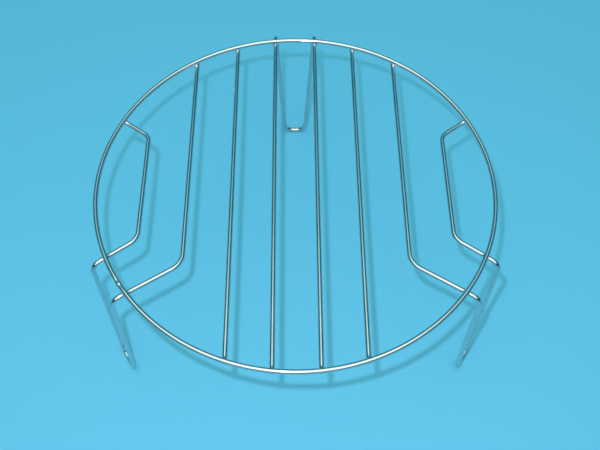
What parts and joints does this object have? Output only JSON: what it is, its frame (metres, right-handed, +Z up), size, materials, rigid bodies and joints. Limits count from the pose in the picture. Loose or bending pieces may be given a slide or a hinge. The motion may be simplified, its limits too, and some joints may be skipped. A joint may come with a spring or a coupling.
{
  "type": "grill rack",
  "caption": "Round high grill rack of bright-plated steel wire: a rim welded over straight bars that run on into hairpin wire legs with U-shaped feet; holds food up under an oven's grill.",
  "frame": {"origin": "on the standing surface, straight below the rim's centre", "axes": "+Z up, +Y along the bars to the rear leg, +X to the right seen from the front"},
  "size_m": [0.2226, 0.2316, 0.1024],
  "materials": {
    "plated_wire": "bright nickel-chrome plate on drawn steel wire"
  },
  "bodies": {
    "root": {"rim_ring": "plated_wire", "left_bar": "plated_wire", "right_bar": "plated_wire", "rear_leg_wire": "plated_wire", "left_leg_wire": "plated_wire", "right_leg_wire": "plated_wire"}
  },
  "joints": []
}
